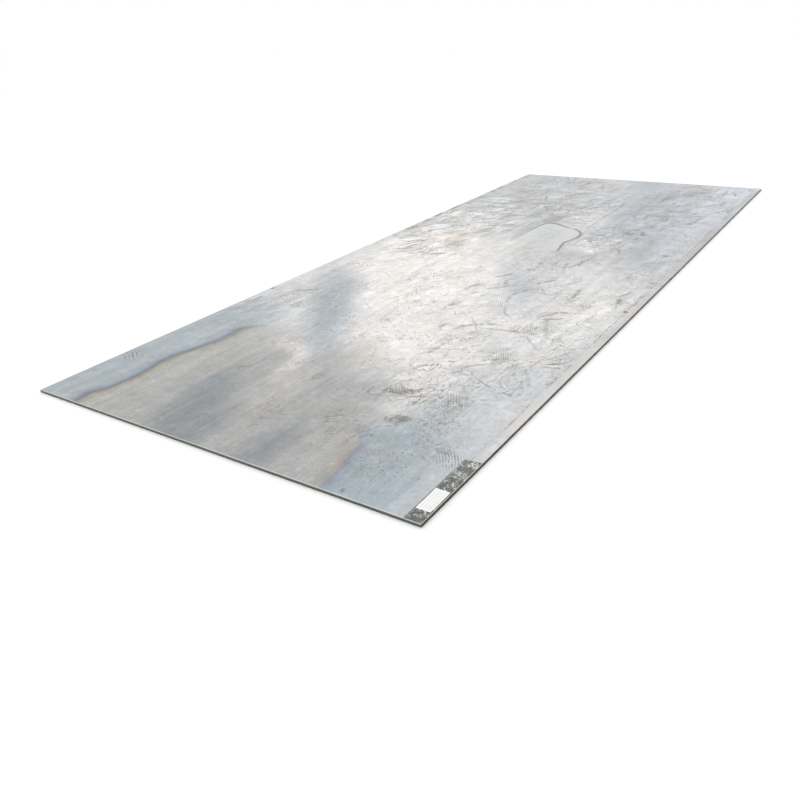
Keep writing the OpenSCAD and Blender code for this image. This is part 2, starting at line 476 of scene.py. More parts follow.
def soft_patches():
    """Broad soft patches of the top face, laid over one another in this order. The pale middle patches are
    partly painted sheen, the rose-white ones painted highlights.
    """
    return [
        Patch(2.35, 0.93, 0.95, 0.32, -5, "pale_blue", 0.90, 0.70),
        # Pale middle patches: partly pale scale, partly painted sheen
        Patch(1.25, 0.40, 0.98, 0.58, -20, "bright", 0.97, 0.75),
        # Rose-white patches: painted highlights
        Patch(0.72, 0.68, 0.40, 0.26, -30, "rose_highlight", 0.90),
        Patch(1.17, 1.13, 0.40, 0.11, 0, "bright", 0.75),
        # The broad dull patch over the leading end is partly dull scale and partly painted shade
        Patch(0.00, 0.54, 0.72, 0.60, -15, "dull", 0.97, 0.40),
        Patch(0.09, 0.47, 0.32, 0.14, -14, "core", 0.88, 0.80),
        Patch(0.06, 0.565, 0.22, 0.06, 0, "core", 0.70),
        Patch(0.05, 0.755, 0.24, 0.09, 0, "core", 0.78),
        Patch(0.39, 0.60, 0.24, 0.08, -4, "rose", 0.60),
        Patch(0.57, 0.33, 0.12, 0.17, -30, "rose", 0.40),
        Patch(0.69, 0.25, 0.10, 0.07, -30, "bright", 0.20),
        Patch(0.52, 0.29, 0.32, 0.11, 0, "dull", 0.65),
        Patch(0.48, 0.51, 0.18, 0.05, -15, "rose_highlight", 0.50),
        Patch(0.25, 0.06, 0.50, 0.13, 0, "blue", 0.85, 0.70),
        Patch(0.60, 0.07, 0.40, 0.11, 4, "blue", 0.60, 0.80),
        # The long diagonal blue band is partly blue temper film and partly a painted reflection
        Patch(0.88, 0.31, 0.70, 0.132, -36, "blue", 0.97, 0.88),
        Patch(1.24, 0.84, 0.40, 0.12, -36, "pale_blue", 0.80),
        Patch(1.76, 0.26, 0.27, 0.100, -30, "amber", 0.90),
        Patch(2.10, 0.30, 0.38, 0.16, 0, "bright", 0.30),
        Patch(2.54, 0.29, 0.26, 0.14, -20, "smear", 0.72),
        Patch(2.44, 0.49, 0.18, 0.12, 0, "smear", 0.40),
        Patch(1.64, 0.64, 0.22, 0.08, -10, "rose", 0.50),
        Patch(1.85, 0.84, 0.20, 0.13, 0, "bright", 0.55, 0.80),
        Patch(1.70, 0.84, 0.080, 0.14, 0, "violet", 0.35),
        Patch(1.82, 1.02, 0.28, 0.08, 0, "violet", 0.40),
        Patch(2.160, 0.545, 0.085, 0.036, 10, "grime", 0.60, 0.80),
        Patch(2.05, 0.914, 0.11, 0.075, 40, "smear", 0.60),
        Patch(0.95, 1.00, 0.54, 0.30, 0, "bright", 0.50, 0.80),
        Patch(1.46, 0.98, 0.38, 0.22, -10, "bright", 0.50),
        Patch(2.18, 0.70, 0.30, 0.13, 0, "bright", 0.50),
        Patch(1.62, 0.16, 0.36, 0.16, 0, "bright", 0.60),
        Patch(2.05, 0.12, 0.50, 0.16, 0, "bright", 0.45),
        Patch(0.58, 0.90, 0.30, 0.12, 0, "rose_highlight", 0.50),
        Patch(0.59, 0.65, 0.18, 0.09, -30, "rose", 0.65),
        Patch(0.55, 0.45, 0.15, 0.060, -50, "rose_highlight", 0.38),
        Patch(0.29, 0.40, 0.15, 0.10, -20, "core", 0.55),
        Patch(2.40, 1.12, 0.75, 0.14, 0, "ice", 0.65),
        Patch(2.93, 0.31, 0.14, 0.06, 0, "ice", 0.35),
        Patch(2.92, 1.14, 0.34, 0.16, 0, "ice", 0.97, 0.60),
        Patch(2.98, 0.70, 0.22, 0.14, 0, "blue", 0.50),
        Patch(2.98, 0.18, 0.22, 0.20, 0, "pale_blue", 0.40),
        Patch(2.44, 0.82, 0.30, 0.055, 12, "violet", 0.60),
        Patch(2.76, 0.91, 0.34, 0.070, 33, "violet", 0.80),
        Patch(0.54, 0.58, 0.20, 0.08, -45, "dull", 0.40),
        Patch(0.06, 0.88, 0.14, 0.09, 0, "dull", 0.55),
        Patch(1.05, 1.12, 0.17, 0.10, 0, "bright", 0.50),
        Patch(1.29, 0.54, 0.16, 0.18, 0, "bright", 0.50),
        Patch(1.53, 0.58, 0.15, 0.22, 0, "pale_blue", 0.20),
        Patch(2.70, 0.51, 0.16, 0.12, 0, "ice", 0.30),
        Patch(0.36, 0.91, 0.14, 0.08, 0, "rose_highlight", 0.32),
        Patch(0.36, 0.30, 0.15, 0.09, 0, "dull", 0.45),
        Patch(0.82, 0.51, 0.15, 0.10, -20, "scale", 0.28),
        Patch(0.58, 1.12, 0.14, 0.09, 0, "pale_blue", 0.28),
        Patch(1.29, 1.12, 0.14, 0.08, 0, "pale_blue", 0.25),
    ]


# Scale inside and outside each heat rim, how far its border blurs, and how strong its temper colours are
RIM_SIDES = (("straw", "blue", 0.01, 1.0), ("dull", "slate", 0.01, 0.55))


def stain_and_sheen_colour(finish, along, across, rims):
    """Colour of each point: plain scale, the soft patches over it, then the two sides of each heat rim."""
    # The patches have wandering borders
    wander_along = along + 0.045 * layered_noise(11, along, across, pitch=0.30, layers=4)
    wander_across = across + 0.028 * layered_noise(23, along, across, pitch=0.22, layers=4)
    # Some of the patches laid on here are painted sheen, highlights and shade
    colour = np.tile(np.array(finish.scale), (along.size, 1))

    def lay(cover, name):
        nonlocal colour
        colour = colour + cover[:, None] * (np.array(getattr(finish, name)) - colour)

    for patch in soft_patches():
        lay(patch.cover * patch_cover(patch, patch.fade, wander_along, wander_across), patch.colour)
    for (signed, run, length), (inside, outside, blur, _) in zip(rims, RIM_SIDES):
        shown = end_fade(run, length, 0, 0.12)
        lay(0.75 * shown * soft_step(signed, 0.00, 2 * blur) * soft_step(signed, 0.16, 0.03), inside)
        lay(0.80 * shown * soft_step(signed, blur, -blur) * soft_step(signed, -0.30, -0.10), outside)
    return colour


def boot_prints():
    """Ribbed prints of boot soles."""
    return [
        Print(0.225, 1.145, 0.050, 0.040, -33, 0.0065, 0.85),
        Print(0.446, 0.868, 0.030, 0.055, -28, 0.0075, 0.60),
        Print(0.088, 1.000, 0.035, 0.030, -38, 0.0050, 0.35),
        Print(0.274, 0.045, 0.046, 0.036, -60, 0.0120, 0.95),
        Print(0.140, 0.790, 0.020, 0.020, -75, 0.0070, 0.60),
        Print(0.318, 0.950, 0.028, 0.040, 62, 0.0080, 0.60),
        Print(0.414, 0.632, 0.020, 0.028, 90, 0.0110, 0.85),
        Print(0.547, 0.293, 0.032, 0.022, -58, 0.0060, 0.40),
        Print(0.600, 0.387, 0.028, 0.034, -45, 0.0080, 0.70),
        Print(0.664, 0.606, 0.024, 0.030, 0, 0.0070, 0.45),
        Print(0.450, 1.026, 0.060, 0.040, -28, 0.0070, 0.60),
        Print(0.537, 0.985, 0.045, 0.016, -12, 0.0060, 0.60),
        Print(0.752, 1.000, 0.065, 0.050, -27, 0.0065, 0.55),
        Print(0.957, 0.990, 0.050, 0.025, -25, 0.0065, 0.55),
        Print(0.987, 1.086, 0.034, 0.025, -42, 0.0060, 0.45),
        Print(1.104, 0.800, 0.044, 0.044, -20, 0.0075, 0.60),
        Print(1.182, 1.061, 0.040, 0.034, -15, 0.0065, 0.50),
        Print(1.602, 1.026, 0.024, 0.050, 15, 0.0090, 0.50),
        Print(0.690, 0.219, 0.034, 0.025, -55, 0.0065, 0.50),
        Print(0.300, 1.143, 0.034, 0.028, -40, 0.0060, 0.40),
        Print(0.684, 1.080, 0.045, 0.032, -30, 0.0065, 0.45),
        Print(0.811, 0.371, 0.028, 0.022, -40, 0.0050, 0.30),
        Print(1.250, 0.664, 0.040, 0.030, -30, 0.0080, 0.45),
    ]


def scuffs():
    """Scuffs, scratches and creeping dirt lines, drawn one by one."""
    return [
        Line(0.0040, 0.40, [(0.694, 0.782), (0.719, 0.840), (0.746, 0.903)]),
        Line(0.0060, 0.60, [(0.903, 0.854), (0.914, 0.918), (0.922, 0.991)]),
        Line(0.0035, 0.50, [(0.866, 0.860), (0.914, 0.830), (0.967, 0.791)]),
        Line(0.0045, 0.55, [(1.016, 0.895), (1.036, 0.870), (1.094, 0.840)]),
        Line(0.0045, 0.55, [(0.830, 1.065), (0.860, 1.040), (0.903, 1.006)]),
        Line(0.0065, 0.55, [(0.928, 1.055), (0.987, 1.026), (1.055, 0.997)]),
        Line(0.0030, 0.90, [(0.563, 1.069), (0.576, 1.042), (0.590, 1.016)]),
        Line(0.0045, 0.70, [(0.576, 1.000), (0.600, 0.990), (0.625, 0.981)]),
        Line(0.0045, 0.65, [(0.621, 0.954), (0.651, 0.957), (0.684, 0.997)]),
        Line(0.0050, 0.40, [(0.703, 1.094), (0.655, 1.127), (0.606, 1.153)]),
        Line(0.0022, 0.50, [(0.586, 0.684), (0.618, 0.670), (0.649, 0.655)]),
        Line(0.0080, 0.75, [(1.250, 0.997), (1.295, 0.996), (1.340, 0.991)]),
        Line(0.0025, 0.55, [(1.182, 0.948), (1.230, 0.949), (1.280, 0.952)]),
        Line(0.0045, 0.50, [(1.358, 0.928), (1.417, 0.957), (1.456, 0.948)]),
        Line(0.0055, 0.45, [(1.250, 0.905), (1.275, 0.890), (1.300, 0.873)]),
        Line(0.0025, 0.40, [(1.226, 0.750), (1.268, 0.726), (1.310, 0.703)]),
        Line(0.0055, 0.40, [(1.094, 0.977), (1.110, 0.997), (1.124, 1.016)]),
        Line(0.0070, 0.80, [(1.580, 0.891), (1.622, 0.884), (1.668, 0.893)]),
        Line(0.0080, 0.60, [(2.296, 0.856), (2.345, 0.838), (2.394, 0.850)]),
        Line(0.0080, 0.70, [(2.042, 0.971), (2.075, 0.961), (2.110, 0.948)]),
        Line(0.0070, 0.65, [(1.988, 0.964), (2.003, 0.961), (2.020, 0.958)]),
        Line(0.0035, 0.50, [(1.671, 0.997), (1.697, 1.000), (1.723, 1.000)]),
        Line(0.0022, 0.45, [(1.055, 1.110), (1.135, 1.113), (1.215, 1.114)]),
        Line(0.0065, 0.55, [(1.221, 1.153), (1.270, 1.143), (1.309, 1.133)]),
        Line(0.0055, 0.40, [(2.188, 0.997), (2.212, 1.002), (2.237, 1.010)]),
        Line(0.0045, 0.45, [(2.325, 0.969), (2.360, 0.962), (2.394, 0.957)]),
        Line(0.0060, 0.60, [(2.075, 0.728), (2.306, 0.727), (2.443, 0.729), (2.560, 0.721)]),
        Line(0.0090, 0.55, [(2.105, 0.520), (2.160, 0.516), (2.210, 0.542), (2.236, 0.572), (2.222, 0.598)]),
        Line(0.0080, 0.90, [(2.098, 0.532), (2.104, 0.560), (2.096, 0.590)]),
        Line(0.0080, 0.60, [(2.140, 0.604), (2.130, 0.632), (2.150, 0.664), (2.140, 0.700)]),
        Line(0.0080, 0.55, [(2.186, 0.616), (2.196, 0.646), (2.180, 0.680), (2.200, 0.706)]),
        Line(0.0050, 0.60, [(1.840, 0.496), (1.950, 0.500), (2.050, 0.503), (2.090, 0.508)]),
        Line(0.0045, 0.45, [(1.920, 0.476), (2.000, 0.482), (2.080, 0.484)]),
        Line(0.0055, 0.45, [(1.045, 0.291), (1.085, 0.292), (1.124, 0.295)]),
        Line(0.0035, 0.30, [(1.153, 0.303), (1.188, 0.324), (1.221, 0.293), (1.247, 0.234)]),
        Line(0.0055, 0.45, [(1.466, 0.289), (1.520, 0.290), (1.573, 0.293)]),
        Line(0.0035, 0.45, [(0.782, 0.166), (0.928, 0.170), (1.016, 0.172)]),
        Line(0.0035, 0.30, [(1.250, 0.152), (1.325, 0.138), (1.397, 0.121)]),
        Line(0.0055, 0.40, [(0.899, 0.453), (0.915, 0.432), (0.932, 0.410)]),
        Line(0.0035, 0.35, [(0.830, 0.543), (0.885, 0.537), (0.938, 0.528)]),
        Line(0.0035, 0.30, [(1.348, 0.567), (1.392, 0.568), (1.436, 0.569)]),
        Line(0.0025, 0.45, [(0.400, 0.723), (0.391, 0.745), (0.381, 0.766)]),
        Line(0.0030, 0.30, [(0.336, 0.713), (0.328, 0.762), (0.361, 0.785), (0.420, 0.785), (0.479, 0.782)]),
        Line(0.0035, 0.60, [(0.434, 0.797), (0.397, 0.805), (0.395, 0.836), (0.422, 0.889), (0.446, 0.957)]),
        Line(0.0035, 0.50, [(0.479, 0.821), (0.504, 0.860), (0.512, 0.889)]),
        Line(0.0025, 0.40, [(0.274, 0.834), (0.300, 0.832), (0.328, 0.828)]),
        Line(0.0045, 0.55, [(0.336, 1.045), (0.354, 1.062), (0.371, 1.081)]),
        Line(0.0025, 0.55, [(0.289, 1.081), (0.305, 1.072), (0.322, 1.061)]),
        Line(0.0018, 0.50, [(0.156, 1.118), (0.175, 1.119), (0.195, 1.118)]),
        Line(0.0035, 0.90, [(0.196, 1.104), (0.199, 1.098), (0.203, 1.092)]),
        Line(0.0045, 0.80, [(0.221, 0.932), (0.226, 0.942), (0.231, 0.952)]),
        Line(0.0022, 0.45, [(0.068, 1.049), (0.088, 1.047), (0.107, 1.045)]),
    ]


def smudges():
    """Smudges of dark dirt with a hatched edge."""
    return [
        Blot(0.440, 0.872, 0.064, 0.028, 0.75, 68),
        Blot(0.432, 0.860, 0.026, 0.018, 0.85, 68),
        Blot(0.315, 0.952, 0.060, 0.036, 0.80, 60),
        Blot(0.016, 1.020, 0.014, 0.014, 1.00),
        Blot(2.045, 0.918, 0.055, 0.036, 0.80, -20),
        Blot(2.075, 0.880, 0.040, 0.024, 0.55, 60),
        Blot(2.062, 0.966, 0.040, 0.026, 0.55, 60),
        Blot(2.985, 0.210, 0.030, 0.050, 0.55),
        Blot(2.985, 0.440, 0.045, 0.035, 0.50),
        Blot(0.371, 0.400, 0.060, 0.035, 0.40, 20),
        Blot(0.820, 0.205, 0.060, 0.040, 0.50),
        Blot(1.348, 0.283, 0.014, 0.009, 0.90),
        Blot(1.270, 0.085, 0.040, 0.016, 0.55, -10),
        Blot(1.172, 0.085, 0.014, 0.022, 0.70),
        Blot(1.436, 0.176, 0.014, 0.014, 0.70),
        Blot(1.505, 0.264, 0.018, 0.022, 0.60),
        Blot(1.290, 1.143, 0.055, 0.026, 0.60, -5),
        Blot(1.563, 1.133, 0.028, 0.024, 0.70),
        Blot(1.622, 1.139, 0.060, 0.014, 0.60),
        Blot(1.495, 1.172, 0.022, 0.034, 0.70),
        Blot(1.813, 1.133, 0.024, 0.046, 0.55),
        Blot(2.472, 0.954, 0.026, 0.020, 0.60),
        Blot(2.755, 0.160, 0.026, 0.016, 0.60),
        Blot(3.000, 1.172, 0.034, 0.028, 0.80),
        Blot(2.325, 1.153, 0.040, 0.040, 0.40),
        Blot(0.938, 0.117, 0.050, 0.036, 0.45),
        Blot(1.065, 0.117, 0.030, 0.030, 0.45),
        Blot(0.254, 1.104, 0.060, 0.080, 0.42),
        Blot(0.371, 1.026, 0.070, 0.060, 0.45),
        Blot(0.469, 1.045, 0.070, 0.050, 0.42),
        Blot(0.977, 0.850, 0.040, 0.050, 0.30),
        Blot(1.475, 0.758, 0.050, 0.046, 0.52),
        Blot(1.407, 0.830, 0.060, 0.036, 0.32, -20),
        Blot(1.192, 1.065, 0.050, 0.040, 0.42),
        Blot(2.700, 0.780, 0.026, 0.020, 0.35),
        Blot(2.130, 0.300, 0.040, 0.022, 0.35, -25),
    ]


def speck_zones():
    """Areas peppered with specks."""
    return [
        Blot(0.352, 1.036, 0.22, 0.14, 0.90),
        Blot(0.160, 1.030, 0.16, 0.12, 0.80),
        Blot(0.567, 0.762, 0.12, 0.12, 0.55),
        Blot(0.117, 0.840, 0.14, 0.10, 0.35),
        Blot(0.782, 1.055, 0.30, 0.12, 0.45),
        Blot(0.880, 0.117, 0.24, 0.12, 0.55),
        Blot(1.250, 0.137, 0.30, 0.14, 0.45),
        Blot(2.050, 0.117, 0.45, 0.12, 0.45),
        Blot(1.370, 1.094, 0.35, 0.12, 0.40),
        Blot(1.850, 0.300, 0.40, 0.22, 0.35, -20),
    ]


def scuff_zones():
    """Areas crossed by fine scuffs."""
    return [
        Blot(0.75, 1.00, 0.55, 0.26, 1.00),
        Blot(1.35, 0.98, 0.60, 0.28, 0.80, -10),
        Blot(0.90, 0.45, 0.70, 0.45, 0.45, -20),
        Blot(0.30, 0.90, 0.35, 0.25, 0.40),
        Blot(0.27, 0.66, 0.20, 0.10, 1.00),
        Blot(2.10, 1.05, 0.80, 0.20, 0.45),
        Blot(1.70, 0.25, 0.90, 0.28, 0.60),
    ]


def cloud_zones():
    """Areas clouded by dried yard dirt."""
    return [
        Blot(2.05, 0.22, 0.95, 0.30, 1.00),
        Blot(1.95, 0.87, 0.32, 0.16, 0.90),
        Blot(1.45, 1.14, 0.60, 0.09, 0.70),
        Blot(2.45, 0.45, 0.45, 0.35, 0.90),
        Blot(2.55, 0.98, 0.70, 0.28, 0.70),
        Blot(2.80, 0.35, 0.35, 0.40, 0.75),
        Blot(0.80, 0.95, 0.60, 0.30, 0.40),
        Blot(1.40, 0.60, 0.60, 0.45, 0.35, -20),
        Blot(0.75, 0.10, 0.45, 0.14, 0.50),
    ]


def streak_zones():
    """Areas streaked along the rolling direction."""
    return [
        Blot(0.20, 0.50, 0.75, 0.40, 1.00),
        Blot(1.10, 0.62, 0.90, 0.25, 0.70),
        Blot(2.60, 0.62, 0.80, 0.20, 0.50),
    ]


def rust_spots():
    """Rust along the two long edges."""
    return [
        Blot(2.060, 0.006, 0.080, 0.022, 1.00),
        Blot(2.210, 0.004, 0.090, 0.022, 1.00),
        Blot(2.380, 0.010, 0.140, 0.026, 0.50),
        Blot(0.915, 0.008, 0.026, 0.020, 0.80),
        Blot(0.930, 0.035, 0.012, 0.014, 0.60),
        Blot(1.206, 1.190, 0.026, 0.020, 0.80, -40),
        Blot(1.580, 1.200, 0.030, 0.016, 0.45),
        Blot(2.070, 1.206, 0.060, 0.009, 0.80),
        Blot(2.980, 1.212, 0.060, 0.010, 0.60),
    ]


def amount_of(blots, along, across, fade=0.85):
    """The strongest of some blots at each point."""
    total = np.zeros(along.size)
    for blot in blots:
        total = np.maximum(total, blot.amount * patch_cover(blot, fade, along, across))
    return total


def take_layer(taken, territory, mark):
    """The first layer whose marks stay clear of the territory."""
    for number, cells in enumerate(taken):
        if not (cells & territory).any():
            cells |= territory
            return number
    raise RuntimeError(f"no free layer for {mark}")


def print_layers(prints, along, across, pitch):
    """Fields of ribbed prints in layers where no two meet: place along the ribs, ribs counted, strength."""
    layers = np.zeros((PRINT_LAYERS, along.size, 3))
    taken = np.zeros((PRINT_LAYERS, along.size), bool)
    for mark in prints:
        u, v = local_place(mark, along, across)
        radius = np.hypot(u / mark.half_length, v / mark.half_width)
        territory = np.maximum(abs(u) - mark.half_length, abs(v) - mark.half_width) < 2 * pitch
        layer = layers[take_layer(taken, territory, mark)]
        cover = mark.amount * soft_step(radius, 1.0, 0.55)
        layer[territory] = np.stack([u, v / mark.pitch, cover], 1)[territory]
    return layers


def scuff_layers(lines, along, across, pitch):
    """Fields of drawn lines in layers where no two meet: distance, half width, strength."""
    layers = np.tile(np.array([9.0, 1.0, 0.0]), (SCUFF_LAYERS, along.size, 1))
    taken = np.zeros((SCUFF_LAYERS, along.size), bool)
    for line in lines:
        signed, run, length = line_distance(smooth_line(line.points, steps=5), along, across)
        shown = 1.6 * line.half_width + pitch
        territory = abs(signed) < shown + 3 * pitch
        layer = layers[take_layer(taken, territory, line)]
        cover = line.amount * soft_step(abs(signed), shown + pitch, shown)
        cover *= end_fade(run, length, -0.01, 0.012)
        layer[territory] = np.stack([signed, np.full(run.size, line.half_width), cover], 1)[territory]
    return layers


def store(mesh, name, values):
    """Keeps one vector per grid point on the mesh. The other points get zeros."""
    attribute = mesh.attributes.new(name, "FLOAT_VECTOR", "POINT")
    full = np.zeros((len(mesh.vertices), 3), np.float32)
    full[: len(values)] = values
    attribute.data.foreach_set("vector", full.ravel())


def store_stain_fields(mesh, finish, along, across):
    """Works out every stain field of the top face, painted sheen and shade included, and keeps it on the
    mesh.
    """
    # A little over the widest spacing of the grid
    pitch = 1.3 * finish.grid_pitch
    rims = [line_distance(rim, along, across) for rim in heat_rims()]
    store(mesh, "stain_and_sheen_colour", stain_and_sheen_colour(finish, along, across, rims))
    nearest = np.argmin([abs(signed) for signed, _, _ in rims], 0)
    signed, run, length = (np.choose(nearest, values) for values in zip(*rims))
    cover = np.choose(nearest, [side[-1] for side in RIM_SIDES]) * soft_step(abs(signed), 0.16, 0.08)
    cover *= end_fade(run, length, 0.0, 0.15)
    store(mesh, "heat_rim", np.stack([signed, run, cover], 1))
    signed, run, length = line_distance(puddle_rim(), along, across)
    cover = soft_step(run, 0.0, 0.10) * soft_step(length - run, 0.0, 0.05)
    cover *= soft_step(abs(signed), 0.14, 0.08)
    store(mesh, "puddle_rim", np.stack([signed, run, cover], 1))
    for number, layer in enumerate(print_layers(boot_prints(), along, across, pitch)):
        store(mesh, f"print_{number}", layer)
    for number, layer in enumerate(scuff_layers(scuffs(), along, across, pitch)):
        store(mesh, f"scuff_{number}", layer)
    soil = [amount_of(blots, along, across) for blots in (smudges(), speck_zones(), rust_spots())]
    store(mesh, "soil", np.stack(soil, 1))
    zones = (scuff_zones(), cloud_zones(), streak_zones())
    wear = [amount_of(blots, along, across, fade=0.5) for blots in zones]
    store(mesh, "wear", np.stack(wear, 1))


# Meshes and pieces


def sheet_grid(rows, columns):
    """Shares along and across a sheet, from 0 to 1, at each point of its grid."""
    return np.meshgrid(np.linspace(0, 1, rows + 1), np.linspace(0, 1, columns + 1), indexing="ij")


def grid_faces(rows, columns):
    """Faces of a grid of points that are numbered row by row, and the points round its rim."""
    number = np.arange(rows * columns).reshape(rows, columns)
    corners = [number[:-1, :-1], number[1:, :-1], number[1:, 1:], number[:-1, 1:]]
    rim = np.concatenate([number[:-1, 0], number[-1, :-1], number[:0:-1, -1], number[0, :0:-1]])
    return np.stack(corners, -1).reshape(-1, 4), rim


def wall_faces(above, below):
    """Faces of the wall between two rings of points."""
    return np.stack([above, below, np.roll(below, -1), np.roll(above, -1)], -1)


def shaded_mesh(name, points, faces, smooth, crease):
    """A mesh with some faces smooth, and with edges that turn by more than the crease, in degrees, sharp."""
    mesh = bpy.data.meshes.new(name)
    mesh.from_pydata(points.tolist(), [], faces)
    mesh.polygons.foreach_set("use_smooth", smooth)
    mesh.set_sharp_from_angle(angle=math.radians(crease))
    mesh.update()
    return mesh


def put_in_scene(context, name, data):
    """A new object in the scene."""
    thing = bpy.data.objects.new(name, data)
    context.scene.collection.objects.link(thing)
    return thing


def seat_piece(context, mesh, materials, node):
    """Puts a finished mesh in the place of its solid, riding on the plate's one body."""
    for material in materials:
        mesh.materials.append(material)
    piece = put_in_scene(context, mesh.name, mesh)
    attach(piece, "root")
    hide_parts(node)


# The plate's shell


def end_set_back(finish, depth):
    """How far a sheared end lies behind its burnished band, at a depth below the face with the rollover."""
    radius = finish.rollover_radius
    torn = depth - radius - finish.burnish_height
    if depth < radius:
        return radius - math.sqrt(radius**2 - (radius - depth) ** 2)
    return finish.fracture_lean * max(torn, 0.0) / (PLATE_SIZE.z - radius - finish.burnish_height)


def side_set_back(finish, height):
    """How far a rolled side lies behind its swell, at a height above the bottom face."""
    half = PLATE_SIZE.z / 2
    barrel = (half**2 + finish.edge_swell**2) / (2 * finish.edge_swell)
    rise = half - finish.arris_radius
    off = abs(height - half)
    if off <= rise * barrel / (barrel - finish.arris_radius):
        return barrel - math.sqrt(barrel**2 - off**2)
    reach = math.sqrt((barrel - finish.arris_radius) ** 2 - rise**2)
    return barrel - reach - math.sqrt(max(finish.arris_radius**2 - (off - rise) ** 2, 0.0))


def ring_heights(finish):
    """Heights of the rings down the plate's edge, close together where the arrises turn."""
    turns = [finish.arris_radius * (1 - math.cos(math.radians(angle))) for angle in (0, 18, 36, 54, 72, 90)]
    middle = np.linspace(finish.arris_radius, PLATE_SIZE.z - finish.arris_radius, 8)[1:-1]
    return [PLATE_SIZE.z - turn for turn in turns] + list(middle[::-1]) + turns[::-1]


def ring(finish, height, share, on_side, on_end):
    """Points of the plate's outline at one height, with the edges wandering a little inwards."""
    end_low, end_high = end_set_back(finish, PLATE_SIZE.z - height), end_set_back(finish, height)
    side = side_set_back(finish, height)
    low = Vector((PLATE_LOW.x + end_low, PLATE_LOW.y + side))
    high = Vector((PLATE_HIGH.x - end_high, PLATE_HIGH.y - side))
    x = low.x + share[:, 0] * (high.x - low.x)
    y = low.y + share[:, 1] * (high.y - low.y)
    level = np.full(len(x), height)
    torn = np.where(x < 0, height < 0.5 * PLATE_SIZE.z, height > 0.5 * PLATE_SIZE.z)
    # Opposite edges take their noise from places 10 m apart, and each ring has a seed for its own grain
    beside, behind = x + 5 * np.sign(y), y + 5 * np.sign(x)
    grain_seed = 61 + round(20000 * height)
    wander_side = 0.5 + 0.5 * layered_noise(41, beside, level, pitch=0.25, layers=5)
    wander_end = 0.5 + 0.5 * layered_noise(53, behind, level, pitch=0.12, layers=5)
    grain = 0.5 + 0.5 * layered_noise(grain_seed, behind, level, pitch=0.02, layers=2)
    y = y - np.sign(y) * on_side * finish.edge_wander * wander_side
    x = x - np.sign(x) * on_end * finish.edge_wander * (0.4 * wander_end + 0.6 * torn * grain)
    return np.stack([x, y, level], 1)


def build_plate_shell(finish):
    """The plate as one closed mesh: a fine grid on top, rings down the edge and one face below.
    Returns it with the along and across place of each grid point. Faces are in four groups of material:
    top, sides, ends and bottom."""
    rows, columns = (round(size / finish.grid_pitch) for size in PLATE_SIZE.xy)
    s, t = sheet_grid(rows, columns)
    # The rows lie closer together towards the leading end
    share = np.stack([0.75 * s + 0.25 * s**2, t], -1).reshape(-1, 2)
    top_faces, rim = grid_faces(rows + 1, columns + 1)
    rim_share = share[rim]
    on_side = np.isin(rim_share[:, 1], (0.0, 1.0))
    on_end = np.isin(rim_share[:, 0], (0.0, 1.0))
    heights = ring_heights(finish)
    top = ring(finish, heights[0], share, np.zeros(len(share)), np.zeros(len(share)))
    top[rim] = ring(finish, heights[0], rim_share, on_side, on_end)
    points, faces, groups = [top], [top_faces], [np.zeros(len(top_faces), int)]
    edge_group = np.repeat([1, 2, 1, 2], [rows, columns, rows, columns])
    above = rim
    for level, height in enumerate(heights[1:]):
        points.append(ring(finish, height, rim_share, on_side, on_end))
        below = len(top) + level * len(rim) + np.arange(len(rim))
        faces.append(wall_faces(above, below))
        groups.append(edge_group)
        above = below
    groups = np.append(np.concatenate(groups), 3)
    faces = np.concatenate(faces).tolist() + [above[::-1].tolist()]
    mesh = shaded_mesh("rolled_plate", np.concatenate(points), faces, np.isin(groups, (1, 2)), crease=40)
    mesh.polygons.foreach_set("material_index", groups)
    return mesh, top[:, 0] - PLATE_LOW.x, PLATE_HIGH.y - top[:, 1]


# Finishes of the plate


def rolling_texture(look, colour):
    """Streaks along the rolling direction, clouds and grain. Returns the colour and a height."""
    fine = look.noise((3.0, 190.0, 1.0), 4.0, 0.6)
    broad = look.noise((1.3, 38.0, 1.0))
    chatter = look.noise((22.0, 2.5, 1.0))
    clouds = look.noise(26.0, 6.0, 0.62)
    mottle = look.noise(75.0, 3.0, 0.6, bend=0.5)
    grain = look.noise(420.0, 2.0, 0.7)
    gains = ((fine, 0.35), (broad, 0.35), (clouds, 0.60), (mottle, 0.36), (grain, 0.40), (chatter, 0.14))
    level = look.times(*(look.about(noise, 1.0, gain) for noise, gain in gains))
    crinkle = look.hump(look.noise(42.0, 4.0, 0.65, bend=0.6), 0.5, 0.035)
    crinkle = look.times(crinkle, look.rise(clouds, 0.42, 0.60))
    colour = look.shade(colour, look.times(level, look.scaled(crinkle, -0.16, 1.0)))
    cast = look.noise(7.0, 4.0, 0.6)
    colour = look.mix(look.rise(cast, 0.50, 0.75), colour, (1.03, 0.99, 0.985), "MULTIPLY")
    colour = look.mix(look.rise(cast, 0.50, 0.25), colour, (0.96, 1.0, 1.035), "MULTIPLY")
    return colour, look.plus(fine, look.times(grain, 0.6))


def heat_tint(look, colour):
    """Temper colours across the heat rims: straw and brown inside, violet on the line, blue outside."""
    signed, _, cover = look.field("heat_rim")
    stops = [
        (0.20, (1.0, 1.0, 1.0)),
        (0.36, (0.92, 0.94, 0.97)),
        (0.43, (0.73, 0.75, 0.82)),
        (0.475, (0.52, 0.52, 0.60)),
        (0.51, (0.52, 0.49, 0.53)),
        (0.55, (0.74, 0.68, 0.63)),
        (0.61, (0.92, 0.87, 0.81)),
        (0.74, (1.0, 1.0, 1.0)),
    ]
    place = look.shaken(signed, 0.022, 14.0, 4.0, 0.6)
    return look.mix(cover, colour, look.ramp(look.scaled(place, 5.0, 0.5), stops), "MULTIPLY")


